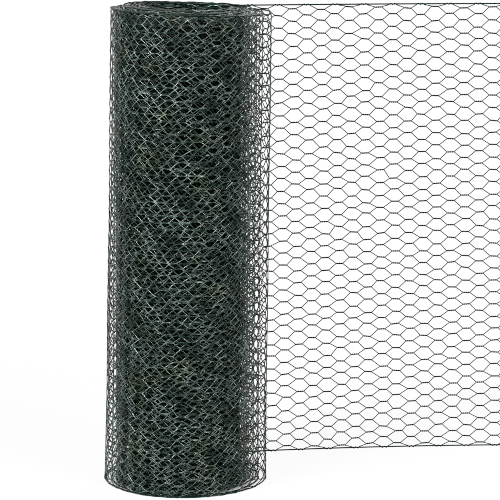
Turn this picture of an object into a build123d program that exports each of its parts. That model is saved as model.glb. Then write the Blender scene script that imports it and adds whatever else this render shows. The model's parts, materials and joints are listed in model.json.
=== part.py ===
"""Roll of hexagonal wire netting (chicken wire), standing on end with its last stretch unrolled.

The netting is one continuous strip. The turns still on the roll are one turned solid with its bore, and
the turns show as rings on both ends. The unrolled stretch is open wire: every mesh has its twisted
sides along the strip and its single wires on the slant, fused where they meet, between two straight
selvedge wires. It leaves the back of the roll on a tangent and bends back slightly, so it is made as
flat panels that meet edge to edge.

Units are millimetres. The origin is on the roll's axis, at its lower end, with +Z up the roll.
"""

import os
from math import cos, hypot, radians, sin, sqrt

from build123d import *

# Netting
netting_width = 500.0
mesh_pitch = 13.78
column_pitch = 15.75
twist_length = 8.6
wire_diameter = 0.9
selvedge_width = 1.5

# Wound turns
bore_diameter = 80.0
tight_turn_pitch = 1.4
tight_turns = 23
loose_turn_pitch = 4.2
loose_turns = 3

# Rings on the ends of the roll
tight_turns_per_ring = 5
ring_groove_depth = 3.0
ring_groove_width = 1.8

# Unrolled stretch
panel_count = 6
panel_column_pairs = 2
exit_heading = 11.2
panel_bend = 1.8

# Sizes that follow
bore_radius = bore_diameter / 2
tight_radius = bore_radius + tight_turns * tight_turn_pitch
roll_radius = tight_radius + loose_turns * loose_turn_pitch
panel_columns = 2 * panel_column_pairs
panel_length = panel_columns * column_pitch
twists_per_column = int(netting_width / mesh_pitch)
edge_margin = (netting_width - (twists_per_column - 1 / 2) * mesh_pitch) / 2


def ring_radii():
    """Radii of the grooves that part the rings: every few tight turns, then every loose turn."""
    tight = range(tight_turns_per_ring, tight_turns, tight_turns_per_ring)
    loose = range(loose_turns)
    return [bore_radius + turn * tight_turn_pitch for turn in tight] + [
        tight_radius + turn * loose_turn_pitch for turn in loose
    ]


def ring_groove(radius, end, inward):
    """V-groove in the roll's section, from the end at that height towards the middle of the roll."""
    half = ring_groove_width / 2
    return Polygon(
        (radius - half, end),
        (radius + half, end),
        (radius, end + inward * ring_groove_depth),
        align=None,
    )


def wound_roll():
    """The turns on the roll, turned about the axis from their half section."""
    section = Pos(bore_radius, 0) * Rectangle(
        roll_radius - bore_radius, netting_width, align=Align.MIN
    )
    lower = [ring_groove(radius, 0, 1) for radius in ring_radii()]
    upper = [ring_groove(radius, netting_width, -1) for radius in ring_radii()]
    return revolve(Plane.XZ * (section - lower - upper), Axis.Z)


def mesh_opening():
    """Clear opening of one mesh: the wires' centre lines, drawn in by half of each side's thickness."""
    rise = mesh_pitch / 2
    run = column_pitch - twist_length
    wire_across = wire_diameter / 2 * hypot(run, rise) / rise
    tip = run + twist_length / 2 - wire_across
    flat = twist_length / 2 + wire_diameter * run / rise - wire_across
    top = rise - wire_diameter
    return Polygon(
        (tip, 0), (flat, top), (-flat, top), (-tip, 0), (-flat, -top), (flat, -top), align=None
    )


def netting_panel():
    """Flat panel of netting: along the strip on X, across it on Y, cut through the slanting wires.

    The meshes of the next columns reach in at both ends, so their openings are cut as well.
    """
    sheet = Rectangle(panel_length, netting_width, align=Align.MIN)
    opening = mesh_opening()
    openings = []
    for column in range(-1, panel_columns + 1):
        along = (column + 1 / 2) * column_pitch
        stagger = column % 2 / 2
        for row in range(twists_per_column + 1):
            across = edge_margin + (row - 1 / 2 + stagger) * mesh_pitch
            openings.append(Pos(along, across) * opening)
    selvedge = Rectangle(panel_length, selvedge_width, align=Align.MIN)
    far_selvedge = Pos(0, netting_width - selvedge_width) * selvedge
    return sheet - openings + selvedge + far_selvedge


def unrolled_panels():
    """The panels in line, the first one seated on the roll along its inner edge."""
    panel = extrude(netting_panel(), amount=-wire_diameter)
    heading = radians(exit_heading)
    inner_face = roll_radius - wire_diameter
    seat = sqrt(roll_radius**2 - inner_face**2)
    x = seat * cos(heading) - inner_face * sin(heading)
    y = seat * sin(heading) + inner_face * cos(heading)
    panels = {}
    for number in range(1, panel_count + 1):
        along = Vector(cos(heading), sin(heading), 0)
        towards_roll = Vector(sin(heading), -cos(heading), 0)
        plane = Plane(origin=(x, y, 0), x_dir=along, z_dir=towards_roll)
        panels[f"unrolled_end_{number}"] = plane * panel
        x += panel_length * cos(heading)
        y += panel_length * sin(heading)
        heading -= radians(panel_bend)
    return panels


nodes = {"wound_roll": wound_roll(), **unrolled_panels()}
os.makedirs("parts", exist_ok=True)
for name, shape in nodes.items():
    export_step(shape, f"parts/{name}.step", write_pcurves=False)
    print(name, "volume", round(shape.volume), "mm3", "solids", len(shape.solids()))
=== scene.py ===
"""Roll of green PVC-coated chicken wire, standing on end with its free end unrolled.

The netting is one strip, made wire by wire. Each wire runs along the strip in a zigzag and is twisted
in turn with the wire above it and the wire below it, which leaves hexagonal meshes. The strip follows
one path in plan: tight turns round the bore, a few loose turns that bulge to the right, and the
unrolled stretch that leaves the back of the roll. Lengths are in metres.
"""

import json
from math import pi, radians, sin, tau

import bpy
import numpy as np
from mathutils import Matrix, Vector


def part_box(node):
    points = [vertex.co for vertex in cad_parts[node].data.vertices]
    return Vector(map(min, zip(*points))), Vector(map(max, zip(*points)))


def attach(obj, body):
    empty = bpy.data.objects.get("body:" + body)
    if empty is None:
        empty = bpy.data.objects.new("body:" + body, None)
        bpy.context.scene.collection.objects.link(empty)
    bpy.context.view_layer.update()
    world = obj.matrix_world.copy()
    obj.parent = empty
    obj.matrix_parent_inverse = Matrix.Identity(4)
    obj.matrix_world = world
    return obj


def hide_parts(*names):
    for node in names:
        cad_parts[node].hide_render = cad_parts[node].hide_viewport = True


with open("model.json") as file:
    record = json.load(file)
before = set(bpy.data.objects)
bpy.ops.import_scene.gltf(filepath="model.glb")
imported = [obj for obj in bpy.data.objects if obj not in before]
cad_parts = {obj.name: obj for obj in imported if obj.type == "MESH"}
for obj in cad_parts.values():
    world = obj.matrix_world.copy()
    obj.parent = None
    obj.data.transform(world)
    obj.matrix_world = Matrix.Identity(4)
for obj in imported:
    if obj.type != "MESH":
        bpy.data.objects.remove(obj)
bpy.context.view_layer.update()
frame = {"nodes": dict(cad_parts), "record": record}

roll_low, roll_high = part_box("wound_roll")
mounts = {mount["name"]: mount for mount in frame["record"]["mounts"]}
MM = 0.001
SEED = 7

# Netting: twists stand in columns across the strip, half a mesh higher or lower in every other column
STRIP_WIDTH = roll_high.z - roll_low.z
MESH_PITCH = 13.78 * MM
LEVEL_PITCH = MESH_PITCH / 2
COLUMN_PITCH = 15.75 * MM
REPEAT = 2 * COLUMN_PITCH
TWIST_LENGTH = 8.6 * MM
WIRE = 0.9 * MM
LEVELS = 2 * int(STRIP_WIDTH / MESH_PITCH)
EDGE_MARGIN = (STRIP_WIDTH - (LEVELS - 1) * LEVEL_PITCH) / 2
SELVEDGE_WIRE = 1.4 * MM
SELVEDGE_INSET = 1.5 * WIRE
SELVEDGE_POINTS_PER_COLUMN = 3
COLUMN_SKEW = 0.022

# Distance from the exit to a column on the unrolled stretch, from which all columns are counted
KNOWN_COLUMN = 119.9 * MM

# Path of the strip in plan. Turns are counted from the exit of the unrolled stretch inwards.
ROLL_RADIUS = (roll_high.x - roll_low.x) / 2
BORE_RADIUS = mounts["bore"]["dims"]["r_mm"] * MM
EXIT_HEADING = radians(12.46)
TAIL_CURVATURE = 0.514
TAIL_LENGTH = 0.402
TURNS = 26
TURN_MARKS = (0, 0.7, 1.2, 2.2, 3.2, 7.4, TURNS)
TURN_RADII = (
    ROLL_RADIUS - WIRE,
    ROLL_RADIUS - WIRE,
    79.6 * MM,
    75.8 * MM,
    71.7 * MM,
    63.5 * MM,
    BORE_RADIUS + WIRE,
)
TURN_CENTRES_X = (0, 0, -2.6 * MM, -2.8 * MM, -5.2 * MM, -8.5 * MM, 0)
TURN_CENTRES_Y = (0, 0, -3.4 * MM, -7.9 * MM, -9.5 * MM, -12.0 * MM, 0)
PATH_STEP = 1.0 * MM
SAMPLES_PER_TURN = 360
SOFTENED_SAMPLES = 50

# The share of a turn from the exit to the front of the roll, and how far meshes lie from the turn outside
FRONT_TURN = 0.465
NEST_SHIFT = TWIST_LENGTH

# Detail by place on the strip: points along a twist, half turns in a twist and sides of a wire
UNROLLED_DETAIL = (11, 4, 5)
OUTER_DETAIL = (6, 2, 4)
NEAR_DETAIL = (5, 2, 3)
DEEP_DETAIL = (2, 0, 3)
PIECE_TURNS = (16, 9, 3.3, 1.5)
PIECE_DETAILS = (DEEP_DETAIL, DEEP_DETAIL, DEEP_DETAIL, NEAR_DETAIL, OUTER_DETAIL)

# How the netting has settled
LOOSE_TURNS = 2.3
LOOSE_EASE = 1
FLARE = 2.7 * MM
FLARE_POWER = 2
LEAN_LOW = -5.3 * MM
LEAN_HIGH = 3.4 * MM
TIGHT_LEAN_SHARE = 0.4
CORE_RISE = 1.0 * MM
TOP_RISE = 1.0 * MM
TOP_TILT = 0.030
TOP_WANDER = 2.4 * MM
CORE_LIFT = 6.0 * MM
LIFT_DIRECTION = (0.83, -0.56)
LIFT_POWER = 4
BOTTOM_WANDER = 0.8 * MM
ROW_WANDER = 1.2 * MM
COLUMN_WANDER = 1.2 * MM
SKEW_WANDER = 0.008
WANDER_LENGTHS = (0.43, 0.71, 1.13)
EDGE_EASE = 0.03
TAIL_SETTLE = 0.06
MESH_JITTER = 0.55 * MM
SELVEDGE_JITTER = 0.4 * MM
TWIST_TILT = radians(3)
SHEET_WAVE = 0.45 * MM
WAVE_LENGTH = 0.23
WAVES_UP = 1.5

# Painted sheen on the coat, which stands in for highlights, by place on the strip: 1 is palest. It fades
# to painted shade deep in the roll, once unrolled, on the right-facing side of the loose turns and along
# each twist, and it is painted light all round the wires near the upper end. It also varies at random in
# patches and from twist to twist.
SHEEN_TURN_MARKS = (0, 1.0, 2.0, 3.5, 7.0, TURNS)
SHEEN_TURN_SHARES = (0.25, 0.45, 1.0, 1.0, 0.03, 0.02)
UNROLLED_SHADED_SHARE = 0.05
UNROLLED_EASE = 0.08
RIGHT_SIDE_SHADED_SHARE = 0.25
RIGHT_FACING_RANGE = (0.7, 0.92)
SELVEDGE_SHEEN_SHARE = 0.06
END_LIGHT_REACH = 20 * MM
END_LIGHT_MARKS = (4, 12)
END_LIGHT_SHARES = (0.2, 1.0)
SHEEN_PATCHES = ((0.061, 0.097), (0.043, -0.071), (-0.113, 0.052))
PATCH_RANGE = (-1, 1)
PATCH_LOW_SHARE = 0.25
RIDGE_POWER = 2.0
TWIST_SHADE_SHARE = 0.9
SHEEN_LOW_SHARE = 0.4
SHEEN_ATTRIBUTE = "painted_sheen"

# Coat: colours, noises as grains to the metre and detail, and the ranges that they are moved between
FRESH_GREEN = (0.0015, 0.013, 0.0085, 1)
# Pale green of the painted sheen, which stands in for highlights
SHEEN_GREEN = (0.63, 0.775, 0.72, 1)
COOL_TINT = (0.9, 1, 0.98, 1)
WARM_TINT = (1, 1, 0.74, 1)
SCUFF_NOISE = (160, 3)
TINT_NOISE = (30, 1)
GRAIN_NOISE = (2400, 2)
SCUFF_RANGE = (0.36, 0.62)
SCUFF_SHARES = (0.25, 1)
TINT_RANGE = (0.5, 0.68)
GLOSS_RANGE = (0, 0.3)
GLOSS_SHARES = (0.035, 1)
ROUGHNESS_RANGE = (0.16, 0.28)
COAT_ROUGHNESS = 0.2
GRAIN_STRENGTH = 0.15
GRAIN_HEIGHT = 0.05 * MM
UNIT_RANGE = (0, 1)

# Floor, which is seen white but for the shade close under the netting
FLOOR_REACH = 40
FLOOR_GREY = (0.8, 0.8, 0.8, 1)
SHADE_SAMPLES = 8
SHADE_REACH = 0.15
SHADE_RANGE = (0.12, 0.25)
SEEN_WHITE_SHARES = (0, 0.93)

# Room
WHITE = (1, 1, 1, 1)
ROOM_STRENGTH = 0.05
BACKDROP_RANGE = (-0.1, 0.5)

# Lamps: name, strength and the way each one turns from the camera's side, in degrees
LAMPS = (("lamp_left", 3.3, -44), ("lamp_right", 2.1, 42), ("lamp_back", 0.9, 165))
LAMP_TILT = radians(52)
LAMP_SIZE = radians(22)

# Camera, fitted to the outline of the roll and to the edges of the unrolled stretch
CAMERA_PLACE = (64.0 * MM, -2368.4 * MM, 655.1 * MM)
CAMERA_PITCH = radians(9.78)
CAMERA_REACH = 100
FRAME_PIXELS = 500
FOCAL_PIXELS = 2272
SENSOR = 36.0
PIXEL_FILTER = 1.0

random = np.random.default_rng(SEED)


def smoothstep(low, high, value):
    """0 below low, 1 above high and a smooth rise between them."""
    share = np.clip((value - low) / (high - low), 0, 1)
    return share * share * (3 - 2 * share)


def softened(values, reach):
    """Moving average over that many samples on each side, with the ends held."""
    padded = np.pad(values, reach, mode="edge")
    window = np.ones(2 * reach + 1) / (2 * reach + 1)
    return np.convolve(padded, window, mode="valid")


class Wander:
    """Slow unevenness along the strip, mostly between -1 and 1, which differs from turn to turn."""

    def __init__(self):
        self.phases = random.uniform(0, tau, len(WANDER_LENGTHS))

    def at(self, s):
        """The unevenness at that distance along the strip."""
        waves = [
            np.sin(tau * s / length + phase)
            for length, phase in zip(WANDER_LENGTHS, self.phases)
        ]
        return sum(waves) / np.sqrt(len(waves))


def wound_points():
    """Turns and points in plan of the wound netting, from the bore out to the exit."""
    turn = np.linspace(0, TURNS, TURNS * SAMPLES_PER_TURN)
    radius, centre_x, centre_y = (
        softened(np.interp(turn, TURN_MARKS, values), SOFTENED_SAMPLES)
        for values in (TURN_RADII, TURN_CENTRES_X, TURN_CENTRES_Y)
    )
    angle = pi / 2 + EXIT_HEADING + tau * turn
    points = np.stack([centre_x + radius * np.cos(angle), centre_y + radius * np.sin(angle)], 1)
    return turn[::-1], points[::-1]


def tail_points(start):
    """Points in plan of the unrolled stretch, which leaves that point in one even bend."""
    along = np.arange(PATH_STEP, TAIL_LENGTH + PATH_STEP, PATH_STEP)
    heading = EXIT_HEADING - TAIL_CURVATURE * (along - PATH_STEP / 2)
    steps = PATH_STEP * np.stack([np.cos(heading), np.sin(heading)], 1)
    return start + np.cumsum(steps, 0)


class Path:
    """The strip's middle line in plan, by distance from the exit.

    Distances are negative on the roll and positive on the unrolled stretch.
    """

    def __init__(self):
        turn, wound = wound_points()
        tail = tail_points(wound[-1])
        self.turn = np.concatenate([turn, np.zeros(len(tail))])
        self.points = np.concatenate([wound, tail])
        lengths = np.hypot(*np.diff(self.points, axis=0).T)
        self.s = np.concatenate([[0], np.cumsum(lengths)])
        self.s -= self.s[len(wound) - 1]
        tangent = np.gradient(self.points, self.s, axis=0)
        tangent /= np.linalg.norm(tangent, axis=1)[:, None]
        self.outward = np.stack([-tangent[:, 1], tangent[:, 0]], 1)
        self.top_wander = Wander()
        self.bottom_wander = Wander()
        self.patch_phases = random.uniform(0, tau, len(SHEEN_PATCHES))
        self.nest_turns()

    def nest_turns(self):
        """Slip the meshes along every turn, so that at the front they nest with the turn outside it.

        Slanting wires of successive turns then line up in longer strokes. Mesh distances are kept
        beside the distances along the strip that they slip to.
        """
        fronts = np.interp(-FRONT_TURN - np.arange(TURNS), -self.turn, self.s)
        repeats = np.round((-np.diff(fronts) - NEST_SHIFT) / REPEAT)
        slipped = fronts[0] - np.cumsum(repeats * REPEAT + NEST_SHIFT)
        start = slipped[-1] + self.s[0] - fronts[-1]
        self.mesh_distance = np.concatenate([[start], slipped[::-1], [fronts[0], self.s[-1]]])
        self.slipped_to = np.concatenate([[self.s[0]], fronts[::-1], [self.s[-1]]])

    def read(self, values, s):
        """One of the path's values at that distance along the strip."""
        return np.interp(s, self.s, values)

    def normal(self, s):
        """Level direction out of the sheet at that distance along the strip."""
        return np.stack([self.read(self.outward[:, 0], s), self.read(self.outward[:, 1], s), 0 * s], -1)

    def place(self, s, z, out):
        """Points at that distance along the strip, height across it and offset outwards from it."""
        turn = self.read(self.turn, s)
        on_roll = 1 - smoothstep(0, TAIL_SETTLE, s)
        loose = 1 - smoothstep(LOOSE_TURNS - LOOSE_EASE, LOOSE_TURNS + LOOSE_EASE, turn)
        height = z / STRIP_WIDTH
        wave = SHEET_WAVE * np.sin(tau * (s / WAVE_LENGTH + height))
        wave = wave * np.sin(tau * WAVES_UP * height + turn)
        flare = FLARE * loose * on_roll * (1 - height) ** FLARE_POWER
        out = out + flare + wave * on_roll
        lean = LEAN_LOW + (LEAN_HIGH - LEAN_LOW) * height
        lean = lean * on_roll * (TIGHT_LEAN_SHARE + (1 - TIGHT_LEAN_SHARE) * loose)
        x = self.read(self.points[:, 0], s) + out * self.read(self.outward[:, 0], s)
        y = self.read(self.points[:, 1], s) + out * self.read(self.outward[:, 1], s)
        top = TOP_RISE - TOP_TILT * x + (1 - loose) * (CORE_RISE + TOP_WANDER * self.top_wander.at(s))
        facing = np.clip((x * LIFT_DIRECTION[0] + y * LIFT_DIRECTION[1]) / ROLL_RADIUS, 0, 1)
        bottom = CORE_LIFT * facing ** LIFT_POWER + BOTTOM_WANDER * np.abs(self.bottom_wander.at(s))
        bottom = bottom * (1 - loose)
        rise = (top * height + bottom * (1 - height)) * on_roll
        return np.stack([x + lean, y, z + rise], -1)

    def patches(self, s, z):
        """Patches of uneven painted sheen over the strip."""
        waves = [
            np.sin(tau * (s / along + z / up) + phase)
            for (along, up), phase in zip(SHEEN_PATCHES, self.patch_phases)
        ]
        return PATCH_LOW_SHARE + (1 - PATCH_LOW_SHARE) * smoothstep(*PATCH_RANGE, sum(waves))

    def outside_sheen(self, s, z):
        """Painted sheen on the outside of the strip, which stands in for highlights.

        It is pale in patches and fades to painted shade deep in the roll, on the right-facing side of the
        loose turns and once unrolled.
        """
        turn = self.read(self.turn, s)
        turn_sheen = np.interp(turn, SHEEN_TURN_MARKS, SHEEN_TURN_SHARES)
        # Painted shade on the unrolled stretch
        turn_sheen = turn_sheen * (1 - (1 - UNROLLED_SHADED_SHARE) * smoothstep(-UNROLLED_EASE, UNROLLED_EASE, s))
        # Painted shade on the right-facing side of the loose turns
        right_side_shade = smoothstep(*RIGHT_FACING_RANGE, self.read(self.outward[:, 0], s))
        right_side_shade = right_side_shade * (1 - smoothstep(LOOSE_TURNS, LOOSE_TURNS + LOOSE_EASE, turn))
        return turn_sheen * (1 - (1 - RIGHT_SIDE_SHADED_SHARE) * right_side_shade) * self.patches(s, z)

    def end_light(self, s, z):
        """Painted light near the upper end of the roll: how pale the coat is all round the wire there,
        most on the inner turns.
        """
        on_roll = 1 - smoothstep(-UNROLLED_EASE, UNROLLED_EASE, s)
        near_end = smoothstep(STRIP_WIDTH - END_LIGHT_REACH, STRIP_WIDTH, z)
        turn_sheen = np.interp(self.read(self.turn, s), END_LIGHT_MARKS, END_LIGHT_SHARES)
        return turn_sheen * on_roll * near_end * self.patches(s, z)


path = Path()


class Netting:
    """Places of every twist, by column along the strip and level across it, with their unevenness.

    Level 0 has the lowest twists. Level -1 and the last one are the selvedge wires.
    """

    def __init__(self):
        pairs = int((KNOWN_COLUMN - path.mesh_distance[0]) / REPEAT)
        first = KNOWN_COLUMN - REPEAT * pairs
        self.count = int((path.s[-1] - first) / COLUMN_PITCH)
        column = np.arange(self.count)[:, None]
        level = np.arange(-1, LEVELS + 1)[None, :]
        middle = np.interp(first + column * COLUMN_PITCH, path.mesh_distance, path.slipped_to)
        height = EDGE_MARGIN + level * LEVEL_PITCH + 0 * column
        share = height / STRIP_WIDTH
        inside = smoothstep(0, EDGE_EASE, share) * smoothstep(0, EDGE_EASE, 1 - share)
        on_roll = 1 - smoothstep(-ROLL_RADIUS, 0, middle)
        self.z = height + ROW_WANDER * Wander().at(middle) * inside * on_roll
        self.z += random.normal(0, MESH_JITTER, self.z.shape)
        self.z[:, 0] = SELVEDGE_INSET
        self.z[:, -1] = STRIP_WIDTH - SELVEDGE_INSET
        skew = COLUMN_SKEW + SKEW_WANDER * Wander().at(middle) * on_roll
        shift = COLUMN_WANDER * Wander().at(middle) * on_roll
        self.s = middle - skew * (self.z - STRIP_WIDTH / 2) + shift
        self.s += random.normal(0, MESH_JITTER, self.z.shape)
        self.tilt = random.normal(0, TWIST_TILT, self.z.shape)
        self.tilt[:, [0, -1]] = 0
        # Random share of the painted sheen at each twist
        self.sheen_share = random.uniform(SHEEN_LOW_SHARE, 1, self.z.shape)

    def wires(self, columns, twist_points, half_turns):
        """Points of every wire over those columns, wires by points.

        They are distances along the strip, heights, offsets outwards and shares of the painted sheen,
        less the painted shade along each twist.
        """
        wire = np.arange(-1, LEVELS)[:, None]
        column = np.asarray(columns)[None, :]
        level = np.where((wire - column) % 2 == 0, wire, wire + 1)
        above = np.where(level == wire, 1, -1)
        at_selvedge = (level == -1) | (level == LEVELS)
        radius = np.where(at_selvedge, WIRE, WIRE / 2)
        share = np.linspace(0, 1, twist_points)
        angle = share * half_turns * pi * np.where(column % 2, 1, -1)[..., None]
        along = (share - 0.5) * TWIST_LENGTH
        s = self.s[column, level + 1][..., None] + along
        side = (above * radius)[..., None]
        tilt = self.tilt[column, level + 1][..., None]
        z = self.z[column, level + 1][..., None] + side * np.cos(angle) + along * tilt
        out = side * np.sin(angle)
        # Painted shade along each twist, a parabola that is 0 at its ends and highest half way
        twist_shade = TWIST_SHADE_SHARE * 4 * share * (1 - share)
        sheen_and_twist_shade = (1 - twist_shade) * self.sheen_share[column, level + 1][..., None]
        return [values.reshape(len(wire), -1) for values in (s, z, out, sheen_and_twist_shade)]


netting = Netting()


def tubes(diameter, points, normals, outside, all_round, sides):
    """Corners of round wires and their painted sheen, by wire, point and side.

    Points, sheet normals, painted sheen on the outside and painted light all round are given by wire and
    point.
    """
    # Corners stand out so far that the mean width of a wire is its diameter
    roundness = pi / (2 * sides * sin(pi / sides))
    turn = pi / 2 + tau * np.arange(sides) / sides
    # Painted highlight: the outer side of each wire is palest, and its flanks and inner side stay dark
    ridge = (0.5 + 0.5 * np.sin(turn)) ** RIDGE_POWER
    tangent = np.gradient(points, axis=1)
    tangent /= np.linalg.norm(tangent, axis=2, keepdims=True)
    across = np.cross(tangent, normals)
    across /= np.linalg.norm(across, axis=2, keepdims=True)
    outward = np.cross(across, tangent)
    ring = across[:, :, None] * np.cos(turn)[:, None] + outward[:, :, None] * np.sin(turn)[:, None]
    corners = points[:, :, None] + diameter * roundness * ring
    painted_sheen = np.maximum(outside[:, :, None] * ridge, all_round[:, :, None])
    return corners, painted_sheen


def tube_mesh(name, runs, sides):
    """One mesh of round wires. Each run is what tubes takes, apart from the sides."""
    vertices, quads, caps, shades = [], [], [], []
    base = 0
    for run in runs:
        corners, painted_sheen = tubes(*run, sides)
        index = base + np.arange(painted_sheen.size).reshape(painted_sheen.shape)
        after = np.roll(index, -1, axis=2)
        faces = np.stack([index[:, :-1], after[:, :-1], after[:, 1:], index[:, 1:]], -1)
        vertices.append(corners.reshape(-1, 3))
        quads.append(faces.reshape(-1, 4))
        caps.append(index[:, 0, ::-1])
        caps.append(index[:, -1])
        shades.append(painted_sheen.ravel())
        base += index.size
    vertices, quads, caps, shades = (np.concatenate(part) for part in (vertices, quads, caps, shades))
    loops = np.concatenate([quads.ravel(), caps.ravel()])
    starts = np.concatenate([4 * np.arange(len(quads)), quads.size + sides * np.arange(len(caps))])
    mesh = bpy.data.meshes.new(name)
    mesh.vertices.add(len(vertices))
    mesh.vertices.foreach_set("co", vertices.astype(np.float32).ravel())
    mesh.loops.add(len(loops))
    mesh.loops.foreach_set("vertex_index", loops.astype(np.int32))
    mesh.polygons.add(len(starts))
    mesh.polygons.foreach_set("loop_start", starts.astype(np.int32))
    mesh.update(calc_edges=True)
    mesh.validate()
    mesh.polygons.foreach_set("use_smooth", np.ones(len(mesh.polygons), bool))
    # The painted sheen and shade go to the material as a mesh attribute
    shade = mesh.attributes.new(SHEEN_ATTRIBUTE, "FLOAT", "POINT")
    shade.data.foreach_set("value", shades.astype(np.float32))
    return mesh


def selvedge_run(start, stop):
    """The two selvedge wires between those distances along the strip, as a run for tube_mesh."""
    s = np.linspace(start, stop, int((stop - start) / COLUMN_PITCH * SELVEDGE_POINTS_PER_COLUMN))
    s = np.stack([s, s])
    z = np.array([[SELVEDGE_INSET], [STRIP_WIDTH - SELVEDGE_INSET]]) + 0 * s
    jitter = np.clip(random.normal(0, SELVEDGE_JITTER, (2,) + s.shape), -WIRE / 2, WIRE / 2)
    jitter = jitter * (1 - smoothstep(-ROLL_RADIUS, 0, s))
    points = path.place(s, z + jitter[0], jitter[1])
    # Selvedge wires take a small share of the painted sheen and of the painted light at the upper end
    outside = SELVEDGE_SHEEN_SHARE * path.outside_sheen(s, z)
    all_round = SELVEDGE_SHEEN_SHARE * path.end_light(s, z)
    return SELVEDGE_WIRE, points, path.normal(s), outside, all_round


def netting_piece(name, first, last, detail, nodes):
    """Piece of the strip from one column to another, with its two selvedge wires.

    It starts where the wires leave the column before its first one.
    """
    twist_points, half_turns, sides = detail
    wires = netting.wires(range(max(first - 1, 0), last), twist_points, half_turns)
    if first > 0:
        wires = [values[:, twist_points - 1:] for values in wires]
    s, z, out, sheen_and_twist_shade = wires
    # Painted sheen and shade on the outside, and painted light at the upper end, as shares for the mesh
    # attribute
    outside = sheen_and_twist_shade * path.outside_sheen(s, z)
    all_round = sheen_and_twist_shade * path.end_light(s, z)
    mesh_run = (WIRE, path.place(s, z, out), path.normal(s), outside, all_round)
    runs = [mesh_run, selvedge_run(s[:, 0].min(), s[:, -1].max())]
    piece = bpy.data.objects.new(name, tube_mesh(name, runs, sides))
    bpy.context.scene.collection.objects.link(piece)
    piece.data.materials.append(coated_wire)
    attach(piece, "root")
    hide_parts(*nodes)


def noise(tree, scale, detail):
    """Noise over the object at that many grains to the metre."""
    place = tree.nodes.new("ShaderNodeTexCoord")
    texture = tree.nodes.new("ShaderNodeTexNoise")
    texture.inputs["Scale"].default_value = scale
    texture.inputs["Detail"].default_value = detail
    tree.links.new(place.outputs["Object"], texture.inputs["Vector"])
    return texture.outputs["Fac"]


def ranged(tree, value, from_range, to_range):
    """The value, moved from one range to another and held inside it."""
    node = tree.nodes.new("ShaderNodeMapRange")
    node.inputs["From Min"].default_value, node.inputs["From Max"].default_value = from_range
    node.inputs["To Min"].default_value, node.inputs["To Max"].default_value = to_range
    tree.links.new(value, node.inputs["Value"])
    return node.outputs["Result"]


def combined(tree, operation, first, second):
    """Two values put together by a math operation."""
    node = tree.nodes.new("ShaderNodeMath")
    node.operation = operation
    tree.links.new(first, node.inputs[0])
    tree.links.new(second, node.inputs[1])
    return node.outputs["Value"]


def ramp(tree, value, low_colour, high_colour):
    """Colour that goes from one to the other as the value goes from 0 to 1."""
    node = tree.nodes.new("ShaderNodeValToRGB")
    node.color_ramp.elements[0].color = low_colour
    node.color_ramp.elements[1].color = high_colour
    tree.links.new(value, node.inputs["Fac"])
    return node.outputs["Color"]


def coated_wire_material():
    """Dark green PVC over wire, glossy, with a pale sheen painted from a mesh attribute that stands in
    for highlights and gives way to painted shade; its gloss follows that attribute, and the coat is
    scuffed and tinted in patches.
    """
    material = bpy.data.materials.new("coated_wire")
    material.use_nodes = True
    tree = material.node_tree
    shader = tree.nodes["Principled BSDF"]
    shader.inputs["Coat Roughness"].default_value = COAT_ROUGHNESS
    scuffs = noise(tree, *SCUFF_NOISE)
    sheen_share = tree.nodes.new("ShaderNodeAttribute")
    sheen_share.attribute_name = SHEEN_ATTRIBUTE
    scuffed = ranged(tree, scuffs, SCUFF_RANGE, SCUFF_SHARES)
    pale = combined(tree, "MULTIPLY", sheen_share.outputs["Fac"], scuffed)
    # Gloss follows the painted sheen, so the coat reflects less where shade is painted
    gloss = ranged(tree, sheen_share.outputs["Fac"], GLOSS_RANGE, GLOSS_SHARES)
    tree.links.new(gloss, shader.inputs["Specular IOR Level"])
    tree.links.new(gloss, shader.inputs["Coat Weight"])
    colour = ramp(tree, pale, FRESH_GREEN, SHEEN_GREEN)
    warmth = ranged(tree, noise(tree, *TINT_NOISE), TINT_RANGE, UNIT_RANGE)
    tint = ramp(tree, warmth, COOL_TINT, WARM_TINT)
    tinted = tree.nodes.new("ShaderNodeMix")
    tinted.data_type = "RGBA"
    tinted.blend_type = "MULTIPLY"
    tinted.inputs["Factor"].default_value = 1
    tree.links.new(colour, tinted.inputs["A"])
    tree.links.new(tint, tinted.inputs["B"])
    tree.links.new(tinted.outputs["Result"], shader.inputs["Base Color"])
    tree.links.new(ranged(tree, scuffs, UNIT_RANGE, ROUGHNESS_RANGE), shader.inputs["Roughness"])
    bump = tree.nodes.new("ShaderNodeBump")
    bump.inputs["Strength"].default_value = GRAIN_STRENGTH
    bump.inputs["Distance"].default_value = GRAIN_HEIGHT
    tree.links.new(noise(tree, *GRAIN_NOISE), bump.inputs["Height"])
    tree.links.new(bump.outputs["Normal"], shader.inputs["Normal"])
    return material


coated_wire = coated_wire_material()


def column_at(s):
    """First column at or past that distance along the strip."""
    return int(np.searchsorted(netting.s[:, LEVELS // 2], s))


def turn_distance(turn):
    """Distance along the strip of that turn, counted from the exit inwards."""
    return float(np.interp(-turn, -path.turn, path.s))


def build_strip():
    """The strip in pieces: fine wires where it is open to view, plainer ones deep in the roll."""
    end = netting.count
    tail = column_at(0.0)
    middle = (tail + end) // 2
    panels = sorted(node for node in frame["nodes"] if node.startswith("unrolled_end"))
    half = len(panels) // 2
    netting_piece("netting_unrolled_inner", tail, middle, UNROLLED_DETAIL, panels[:half])
    netting_piece("netting_unrolled_outer", middle, end, UNROLLED_DETAIL, panels[half:])
    cuts = [0] + [column_at(turn_distance(turn)) for turn in PIECE_TURNS] + [tail]
    for number, (first, last, detail) in enumerate(zip(cuts, cuts[1:], PIECE_DETAILS), 1):
        netting_piece(f"netting_turns_{number}", first, last, detail, ["wound_roll"])


build_strip()


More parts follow.
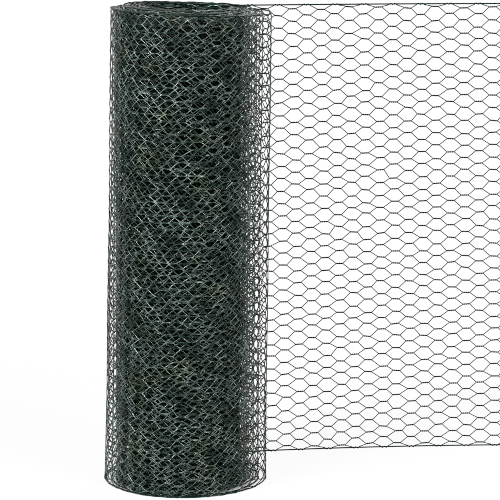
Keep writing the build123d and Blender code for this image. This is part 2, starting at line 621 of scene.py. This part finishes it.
def any_ray(tree, *kinds):
    """1 for rays of those kinds and 0 for all others."""
    rays = tree.nodes.new("ShaderNodeLightPath")
    found = rays.outputs[kinds[0]]
    for kind in kinds[1:]:
        found = combined(tree, "MAXIMUM", found, rays.outputs[kind])
    return found


def floor_material():
    """White floor that keeps the shade under the roll and a soft shadow round it."""
    material = bpy.data.materials.new("white_floor")
    material.use_nodes = True
    tree = material.node_tree
    tree.nodes.clear()
    output = tree.nodes.new("ShaderNodeOutputMaterial")
    diffuse = tree.nodes.new("ShaderNodeBsdfDiffuse")
    diffuse.inputs["Color"].default_value = FLOOR_GREY
    white = tree.nodes.new("ShaderNodeEmission")
    open_air = tree.nodes.new("ShaderNodeAmbientOcclusion")
    open_air.samples = SHADE_SAMPLES
    open_air.inputs["Distance"].default_value = SHADE_REACH
    lit = ranged(tree, open_air.outputs["AO"], SHADE_RANGE, SEEN_WHITE_SHARES)
    seen = any_ray(tree, "Is Camera Ray", "Is Glossy Ray", "Is Transmission Ray")
    mix = tree.nodes.new("ShaderNodeMixShader")
    tree.links.new(combined(tree, "MULTIPLY", seen, lit), mix.inputs["Fac"])
    tree.links.new(diffuse.outputs["BSDF"], mix.inputs[1])
    tree.links.new(white.outputs["Emission"], mix.inputs[2])
    tree.links.new(mix.outputs["Shader"], output.inputs["Surface"])
    return material


def build_floor():
    """Wide level floor at the foot of the roll."""
    reach = FLOOR_REACH
    mesh = bpy.data.meshes.new("floor")
    corners = [(-reach, -reach, 0), (reach, -reach, 0), (reach, reach, 0), (-reach, reach, 0)]
    mesh.from_pydata(corners, [], [(0, 1, 2, 3)])
    floor = bpy.data.objects.new("floor", mesh)
    floor.data.materials.append(floor_material())
    bpy.context.scene.collection.objects.link(floor)


def build_light():
    """A dim room with a white backdrop behind, and soft lamps from both sides and from the back."""
    world = bpy.data.worlds.new("studio")
    bpy.context.scene.world = world
    world.use_nodes = True
    tree = world.node_tree
    background = tree.nodes["Background"]
    background.inputs["Color"].default_value = WHITE
    place = tree.nodes.new("ShaderNodeTexCoord")
    axes = tree.nodes.new("ShaderNodeSeparateXYZ")
    tree.links.new(place.outputs["Generated"], axes.inputs["Vector"])
    behind = ranged(tree, axes.outputs["Y"], BACKDROP_RANGE, UNIT_RANGE)
    mirrored = combined(tree, "MULTIPLY", any_ray(tree, "Is Glossy Ray", "Is Transmission Ray"), behind)
    seen = combined(tree, "MAXIMUM", any_ray(tree, "Is Camera Ray"), mirrored)
    strength = ranged(tree, seen, UNIT_RANGE, (ROOM_STRENGTH, 1))
    tree.links.new(strength, background.inputs["Strength"])
    for name, energy, turn in LAMPS:
        light = bpy.data.lights.new(name, "SUN")
        light.energy = energy
        light.angle = LAMP_SIZE
        lamp = bpy.data.objects.new(name, light)
        lamp.rotation_euler = (LAMP_TILT, 0, radians(turn))
        bpy.context.scene.collection.objects.link(lamp)


def build_camera():
    """Camera in front of the roll and a little above it, looking slightly down."""
    data = bpy.data.cameras.new("camera")
    data.sensor_width = SENSOR
    data.lens = SENSOR * FOCAL_PIXELS / FRAME_PIXELS
    data.clip_end = CAMERA_REACH
    camera = bpy.data.objects.new("camera", data)
    camera.location = CAMERA_PLACE
    camera.rotation_euler = (pi / 2 - CAMERA_PITCH, 0, 0)
    bpy.context.scene.collection.objects.link(camera)
    bpy.context.scene.camera = camera


build_floor()
build_light()
build_camera()
bpy.context.scene.view_settings.view_transform = "Standard"

# Wires are about a pixel wide: denoising smears them, and a narrow pixel filter keeps them crisp
bpy.context.scene.cycles.use_denoising = False
bpy.context.scene.cycles.filter_width = PIXEL_FILTER
